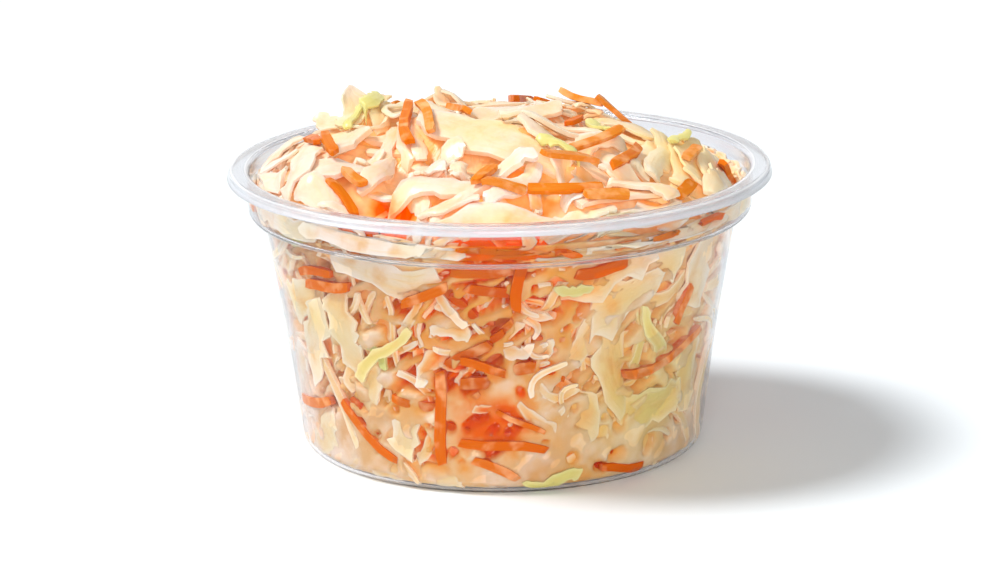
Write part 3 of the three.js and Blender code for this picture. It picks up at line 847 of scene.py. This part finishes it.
def new_shreds(name, kind, material):
    """One piece of all shreds of a kind. Each is a closed tube: at every station along it, the
    rails are moved out along their normals by half the thickness, less towards the edges, once
    to one side and once to the other, and the end rings are drawn together and closed flat."""
    shreds = laid[kind]
    rails = torn_edges(np.array([shred["rails"] for shred in shreds]), cuts[kind]["torn"])
    count, stations, width, _ = rails.shape
    normal = np.cross(np.gradient(rails, axis=1), np.gradient(rails, axis=2))
    normal /= np.linalg.norm(normal, axis=-1, keepdims=True) + 1e-9
    u = np.linspace(-1, 1, width)
    s = np.linspace(-1, 1, stations)
    out = (1 - (1 - cuts[kind]["edge"]) * u * u)[None, None, :, None] / 2
    half_thick = np.array([shred["thick"] / 2 for shred in shreds])[:, None, None, None]
    flush = np.array([shred["bed"] is wall_bed for shred in shreds])[:, None, None, None]
    under = np.where(flush, 1.0, 2 * out) * half_thick
    over = rails + normal * out * 2 * half_thick
    skin = np.concatenate([over, (rails - normal * under)[:, :, ::-1]], 2)
    middle = skin.mean(2, keepdims=True)
    drawn = np.ones(stations)
    drawn[[0, -1]] = 0.86
    skin = middle + (skin - middle) * drawn[None, :, None, None]
    real, deep = np.empty_like(skin), np.empty(skin.shape[:3])
    for k, shred in enumerate(shreds):
        real[k], deep[k] = in_place(shred["bed"], skin[k]), depth_share(shred["bed"], skin[k])

    ring = 2 * width
    start = np.arange(count)[:, None, None] * stations * ring
    i, j = np.meshgrid(np.arange(stations - 1), np.arange(ring), indexing="ij")
    k = (j + 1) % ring
    corners = np.stack([i * ring + j, (i + 1) * ring + j, (i + 1) * ring + k, i * ring + k], -1)
    quads = (start[..., None] + corners).reshape(-1, 4)
    first = start[:, 0] + np.arange(ring)
    last = start[:, 0] + (stations - 1) * ring + np.arange(ring)[::-1]

    def at_points(numbers):
        """One number for each shred, or for each place on its ring, given to every point."""
        return np.broadcast_to(numbers, deep.shape).ravel()

    def each(key):
        return at_points(np.array([shred[key] for shred in shreds])[:, None, None])

    u_round = np.concatenate([u, u[::-1]])
    half = np.array([[shred["length"], shred["width"]] for shred in shreds]) / 2
    apart = np.arange(count)[:, None, None] * 7.3
    along = (half[:, 0, None] * s)[:, :, None] + apart
    across = (half[:, 1, None] * u_round)[:, None, :]
    rim = np.maximum(np.abs(s)[None, :, None], np.abs(u_round)[None, None, :]) ** 3
    in_air = np.array([shred["bed"] is top_bed for shred in shreds])[:, None, None]
    points = real.reshape(-1, 3)
    juice, leafy = staining(points)
    values = {
        "deep": deep.ravel(), "juice": juice, "tone": each("tone"), "rim": at_points(rim),
        "in_air": at_points(in_air), "green": np.maximum(each("green"), leafy)}
    uv = np.stack([at_points(along), at_points(across)], -1) * MM
    faces = [quads, first, last]
    piece = new_piece(name, points, faces, "coleslaw", material, values, uv)
    piece.data.set_sharp_from_angle(angle=math.radians(50))


def stained(recipe, colour, deep, juice, speckle):
    """The colour with painted warm shade: the deeper it lies, the more it is multiplied towards gold, and
    it turns orange, then red, where there is much carrot juice, the more so the deeper it lies, so that its
    orange is part juice and part painted shade."""
    # Painted shade: multiplied towards gold by depth.
    gold = recipe.ramp(
        deep, (0.0, screen(255, 255, 255)), (0.35, screen(255, 232, 196)), (1.0, screen(255, 216, 150)))
    settings = {"data_type": "RGBA", "blend_type": "MULTIPLY"}
    colour = recipe.node("ShaderNodeMix", settings, {0: 1.0, 6: colour, 7: gold}, output=2)
    # The orange share: carrot juice, and depth as painted shade.
    share = recipe.spread(juice * 0.8 + deep * 0.65 + (speckle - 0.5) * 0.9, 0.5, 1.2)
    orange = recipe.ramp(
        share, (0.0, screen(255, 210, 128)), (0.5, screen(252, 164, 44)), (1.0, screen(244, 100, 0)))
    return recipe.blend(share, colour, orange)


def lines_along(recipe, squeeze, scale):
    """Noise drawn out into fine lines along a shred, by its own flat map."""
    flat = recipe.node("ShaderNodeTexCoord", output=2)
    drawn_out = recipe.node("ShaderNodeMapping", None, {"Vector": flat, "Scale": squeeze})
    return recipe.noise(drawn_out, scale, 2.0)


def wet_finish(recipe, colour, gloss, normal, shine, soft, glow=None):
    """Dressed flesh: soft light inside, given as its share, reach by colour and scale, and a wet
    coat in the air only, as plastic pressed on it takes its gloss away. The glow is a share of
    the colour, and stands for the light that the shreds hand on to each other in deep gaps."""
    share, reach, scale = soft
    inputs = {
        "Base Color": colour, "Roughness": gloss, "IOR": 1.02, "Normal": normal,
        "Coat Weight": recipe.read("in_air") * shine, "Coat Roughness": 0.25, "Coat IOR": 1.4,
        "Subsurface Weight": share, "Subsurface Radius": reach, "Subsurface Scale": scale}
    if glow is not None:
        inputs["Emission Color"] = recipe.blend(glow, (0, 0, 0), colour)
        inputs["Emission Strength"] = 0.3
    return recipe.finish(recipe.node("ShaderNodeBsdfPrincipled", None, inputs))


def cabbage_flesh():
    """Pale flesh: ivory to peach from shred to shred, fine veins along it, green for outer leaf, orange
    where juice stains it, and painted shade, gold and then orange, where it lies deep, under a wet and
    slightly uneven dressing."""
    recipe = Recipe("dressed cabbage")
    tone, green, deep, juice, rim, in_air = [
        recipe.read(name) for name in ("tone", "green", "deep", "juice", "rim", "in_air")]
    place = recipe.place()
    veins = lines_along(recipe, (0.22, 1.6, 1), 900.0)
    patches = recipe.noise(place, 240.0, 3.0)
    coat = recipe.noise(place, 620.0, 1.5)
    drifts = recipe.noise(place, 95.0, 2.0)

    pale = recipe.ramp(
        tone * 0.7 + patches * 1.2 - 0.45, (0.0, screen(242, 232, 226)), (0.35, screen(242, 227, 214)),
        (0.7, screen(242, 217, 200)), (1.0, screen(240, 213, 180)))
    blush = recipe.spread(drifts, 0.5, 0.72, 0.0, 0.75)
    sallow = recipe.spread(drifts, 0.5, 0.3, 0.0, 0.7)
    pale = recipe.blend(blush, pale, screen(246, 208, 176))
    pale = recipe.blend(sallow, pale, screen(238, 222, 178))
    straw = recipe.spread(green, 0.0, 0.6)
    colour = recipe.blend(straw, pale, screen(232, 212, 138))
    clear = recipe.spread(patches, 0.5, 0.7) * (1 - rim * 0.7) * (1 - in_air * 0.6)
    colour = recipe.blend(clear * 0.6, colour, screen(228, 172, 100))
    vein_share = recipe.spread(veins, 0.52, 0.7, 0.0, 0.4)
    colour = recipe.blend(vein_share, colour, screen(244, 214, 160))
    # The painted depth shade is weaker at each shred's rim, and its middle takes a little more of it and of
    # the juice.
    inner = (1 - rim) * 0.25
    colour = stained(recipe, colour, deep * (1 - rim * 0.4) + inner * 0.4, juice + inner - 0.25, patches)
    # Against the plastic a shred is paler at its rim: part a thin film of dressing, part painted light over
    # the shade of its turned edges.
    edged = (1 - in_air) * rim * 0.35
    colour = recipe.blend(edged, colour, screen(255, 232, 206))
    outer = recipe.spread(green, 0.55, 0.9)
    leafy = recipe.blend(veins, screen(186, 198, 96), screen(216, 220, 150))
    colour = recipe.blend(outer * 0.7, colour, leafy)

    normal = recipe.bump(veins * 0.5 + coat * 0.7, 0.5, 0.0005)
    gloss = recipe.spread(coat, 0.35, 0.65, 0.22, 0.42)
    # A painted glow in the deep gaps, most in the air, standing for light passed from shred to shred.
    glow = (in_air * 0.6 + 0.4) * deep
    return wet_finish(recipe, colour, gloss, normal, 0.7, (0.5, (1.0, 0.9, 0.8), 0.0008), glow)


flesh = cabbage_flesh()
new_shreds("cabbage_ribbons", "ribbon", flesh)
new_shreds("cabbage_leaves", "leaf", flesh)
new_shreds("cabbage_ribs", "rib", flesh)
new_shreds("cabbage_threads", "thread", flesh)


# ==================================================================== carrot
# Raw carrot, cut by a grating disc into square sticks about 2 mm thick: stiff, bright orange,
# with fine fibres along them, and a thin film of dressing over parts of them.


def carrot_flesh():
    """Orange flesh, streaked along the stick, redder where it lies deep as painted shade and redder against
    the plastic, with a pale film in patches, and gloss where it is wet."""
    recipe = Recipe("dressed carrot")
    tone, deep, in_air = [recipe.read(name) for name in ("tone", "deep", "in_air")]
    fibres = lines_along(recipe, (0.16, 1.9, 1), 1100.0)
    film = recipe.noise(recipe.place(), 330.0, 2.5)
    colour = recipe.ramp(
        tone * 0.6 + fibres * 0.7 - 0.15,
        (0.0, screen(212, 88, 4)), (0.45, screen(220, 118, 20)), (1.0, screen(228, 148, 56)))
    # Redder the deeper the stick lies, as painted shade, and redder against the plastic.
    colour = recipe.blend(deep * 0.5 + (1 - in_air) * 0.3, colour, screen(218, 66, 0))
    filmed = recipe.spread(film + tone * 0.16, 0.6, 0.78, 0.0, 0.55)
    colour = recipe.blend(filmed, colour, screen(252, 196, 140))
    normal = recipe.bump(fibres, 0.4, 0.0003)
    gloss = recipe.spread(film, 0.35, 0.65, 0.2, 0.4)
    return wet_finish(recipe, colour, gloss, normal, 0.4, (0.3, (1.0, 0.55, 0.2), 0.001))


new_shreds("carrot_sticks", "carrot", carrot_flesh())


# ==================================================================== the dressing
# Thin mayonnaise dressing, orange-tinged by the carrot, and with painted warm shade where it lies deep. It
# holds the heap together inside, and low down it pools against the wall as a pale film with small openings
# in it.

film_spacing = 0.5
film_angles = np.linspace(0, 2 * math.pi, 460, endpoint=False)


def against_plastic():
    """The line up the inside of the plastic, from the middle of the base to the heap's edge,
    at even spacing, with its normals towards the salad."""
    joined_at = 40
    floor_part = cup_inside[cup_inside[:, 0] < ledge_radius]
    floor_part = floor_part[floor_part[:, 1] < joined_at]
    z = np.arange(joined_at, 48, 0.5)
    line = np.concatenate([floor_part, np.stack([wall_radius(z), z], 1)])
    run = np.concatenate([[0], np.cumsum(np.hypot(*np.diff(line, axis=0).T))])
    even = np.concatenate([np.arange(1, punt_radius, 2), np.arange(punt_radius, run[-1], film_spacing)])
    line = np.stack([np.interp(even, run, line[:, 0]), np.interp(even, run, line[:, 1])], 1)
    return line, beside(line, 1.0) - line


# How deep the dressing lies behind the plastic: a pitted film where it is wet, which is mostly
# low on the wall, and down at the back of the outer shreds where it is dry.
film_line, film_normal = against_plastic()
film_height = film_line[:, 1:]
film_p = -(film_angles + math.pi / 2)[None, :] * wrap_radius
film_cells = wall_bed.cells(film_p, film_height + 0 * film_p)
wet = 0.5 * ripple(film_p, film_height, wall_length, 5)
wet = wet + 0.6 * ripple(3 * film_p, 3.1 * film_height, wall_length, 6)
wet = np.clip((wet + 0.6 - film_height / 30) * 2.6 + 0.5, 0, 1)
dry = np.clip((ripple(5 * film_p, 5.3 * film_height, wall_length, 7) - 0.05) * 4 + 0.5, 0, 1)
pitted = ripple(3 * film_p, 3.2 * film_height, wall_length, 12)
pitted = pitted + 0.5 * ripple(6 * film_p, 6.5 * film_height, wall_length, 13)
least_depth = 0.8
laid_depth = np.clip(wall_bed.blurred(8)[film_cells] - 0.6, 1.4, 4)
dry_depth = least_depth + (laid_depth - least_depth) * eased(dry)
wet_depth = 0.12 + 0.2 * pitted
film_depth = wet_depth + (dry_depth - wet_depth) * (1 - eased(wet))

# It stays behind the front's own shreds, and elsewhere no nearer than just in the plastic.
nearest = np.where(front_top[film_cells] > 0.3, 0.3, -pressed_in - 0.15)
film_depth = np.maximum(film_depth, nearest)

# Small openings in the film, each a flat-bottomed pit at a random place, more of them low down.
holes = np.random.default_rng(31)
for _ in range(110):
    hole_p, hole_z = holes.uniform(0, wall_length), holes.triangular(3, 6, 34)
    size = holes.uniform(0.6, 1.5)
    away = np.mod(film_p - hole_p + wall_length / 2, wall_length) - wall_length / 2
    reach = (away ** 2 + (film_height - hole_z) ** 2) / size ** 2
    film_depth = film_depth + 1.4 * np.exp(-reach ** 2)
film_depth = np.where(film_height < 2.2, 0.3, film_depth)

# Its upper edge rises and falls with the heap's, 2 mm under it.
film_end = film_line[-1, 1]
brim_x, brim_y = brim_radius * np.cos(film_angles), brim_radius * np.sin(film_angles)
brim_share = np.clip((film_height - 38) / (film_end - 38), 0, 1)
film_height = film_height + brim_share * (heap_top(brim_x, brim_y)[None, :] - 2.0 - film_end)
film_reach = np.where(brim_share > 0, wall_radius(film_height), film_line[:, :1])
film_reach = film_reach + film_normal[:, :1] * film_depth
film_z = film_height + film_normal[:, 1:] * film_depth * (brim_share == 0)
film_rows = np.stack([film_reach * np.cos(film_angles), film_reach * np.sin(film_angles), film_z], -1)

# Its cover runs in from there under the shreds of the heap.
inward = np.linspace(1, 0, 62)[1:-1, None]
cover_x, cover_y = film_rows[-1, :, 0] * inward, film_rows[-1, :, 1] * inward
cover_cells = top_bed.cells(cover_x, cover_y)
cover_waves = drift(np.stack([cover_x, cover_y, 0 * cover_x], -1), 8, 12)
cover_z = top_bed.blurred(14)[cover_cells] - 1.9 + 0.6 * cover_waves
join = np.clip((1 - inward) / 0.08, 0, 1)
cover_z = film_rows[-1, :, 2] + (cover_z - film_rows[-1, :, 2]) * join
cover_rows = np.stack([cover_x, cover_y, cover_z], -1)

core_rows = np.concatenate([film_rows, cover_rows])
core_low, core_high = [(0, 0, row[:, 2].mean()) for row in (core_rows[0], core_rows[-1])]
core_points, core_faces = capped_rows(core_rows, core_low, core_high)
# How deep the dressing lies, for its painted shade and glow.
cover_deep = np.clip((ceiling[cover_cells] - cover_z) / 4.0, 0, 1)
film_deep = np.clip(0.06 + film_depth / (2.2 + 2.0 * (film_height > wall_top_height)), 0, 1)
core_juice, core_green = staining(core_points)
core_values = {
    "deep": np.concatenate([film_deep.ravel(), cover_deep.ravel(), [0.1, 0.5]]),
    "juice": core_juice, "green": core_green,
    "in_air": np.repeat([0, 1, 0, 1], [film_depth.size, cover_deep.size, 1, 1])}


def dressing_finish():
    """Cream where it lies against the plastic or the air, painted shade of gold and orange-brown in the
    gaps, and a painted glow where it lies deep under the shreds of the heap.
    """
    recipe = Recipe("dressing")
    deep, in_air = recipe.read("deep"), recipe.read("in_air")
    place = recipe.place()
    clouds = recipe.noise(place, 170.0, 3.0)
    bits = recipe.noise(place, 900.0, 1.0)
    mottle = recipe.spread(clouds, 0.38, 0.62)
    cream = recipe.blend(mottle, screen(242, 216, 200), screen(222, 170, 124))
    cream = recipe.blend(recipe.read("green"), cream, screen(238, 214, 138))
    colour = stained(recipe, cream, deep, recipe.read("juice") * 1.15, clouds)
    normal = recipe.bump(clouds + bits * 0.3, 0.4, 0.0006)
    gloss = recipe.spread(bits, 0.35, 0.65, 0.2, 0.35)
    soft = 0.5, (1.0, 0.7, 0.5), 0.0015
    # A painted glow where the dressing lies deep under the heap's shreds.
    return wet_finish(recipe, colour, gloss, normal, 0.7, soft, in_air * deep)


finish = dressing_finish()
new_piece("dressing", core_points, core_faces, "coleslaw", finish, core_values)


# ==================================================================== the studio
# A plain white table, one soft lamp from the left that throws the shadow to the right, and an
# even pale surround.

floor_reach = 2.5
floor_mesh = bpy.data.meshes.new("floor")
corner_signs = np.array([(-1, -1), (1, -1), (1, 1), (-1, 1)])
floor_mesh.from_pydata([(x * floor_reach, y * floor_reach, 0) for x, y in corner_signs], [], [(0, 1, 2, 3)])
paper = Recipe("white table")
floor_mesh.materials.append(paper.finish(paper.node("ShaderNodeBsdfPrincipled", None, {
    "Base Color": (0.885, 0.935, 0.965), "Roughness": 0.9, "Specular IOR Level": 0.1})))
floor = bpy.data.objects.new("floor", floor_mesh)
bpy.context.scene.collection.objects.link(floor)


lamp_distance = 1.4


def lamp(name, kind, azimuth, elevation, strength, **settings):
    """A lamp at an azimuth from +X and an elevation, both in degrees, aimed at the cup."""
    light = bpy.data.lights.new(name, kind)
    light.energy = strength
    for key, value in settings.items():
        setattr(light, key, value)
    lit = bpy.data.objects.new(name, light)
    across, up = math.radians(azimuth), math.radians(elevation)
    towards = math.cos(up) * math.cos(across), math.cos(up) * math.sin(across), math.sin(up)
    lit.location = [lamp_distance * v for v in towards]
    lit.rotation_euler = (math.pi / 2 - up, 0, across + math.pi / 2)
    lit.visible_camera = False
    bpy.context.scene.collection.objects.link(lit)


lamp("key lamp", "SUN", 181, 54, 2.85, angle=0.32)
lamp("front lamp", "AREA", -84, 20, 12, shape="DISK", size=0.9)
lamp("back panel", "AREA", 90, 18, 4.5, shape="DISK", size=1.6)

surround = bpy.data.worlds.new("surround")
surround.use_nodes = True
background = surround.node_tree.nodes["Background"]
background.inputs["Color"].default_value = (1.0, 1.0, 1.0, 1)
background.inputs["Strength"].default_value = 0.27
scene = bpy.context.scene
scene.world = surround
scene.view_settings.view_transform = "Standard"

camera_data = bpy.data.cameras.new("camera")
camera_data.lens, camera_data.sensor_width = 153.5, 36
camera = bpy.data.objects.new("camera", camera_data)
looks_down, aimed_up, rolled = [math.radians(a) for a in (14.9, 0.226, -0.8)]
camera_distance, target_height = 0.75, 0.0255
back, above = camera_distance * math.cos(looks_down), camera_distance * math.sin(looks_down)
camera.location = (-0.0002, -back, target_height + above)
tilt = Matrix.Rotation(math.pi / 2 - looks_down + aimed_up, 4, "X")
camera.rotation_euler = (tilt @ Matrix.Rotation(rolled, 4, "Z")).to_euler()
scene.collection.objects.link(camera)
scene.camera = camera
scene.cycles.diffuse_bounces = 10
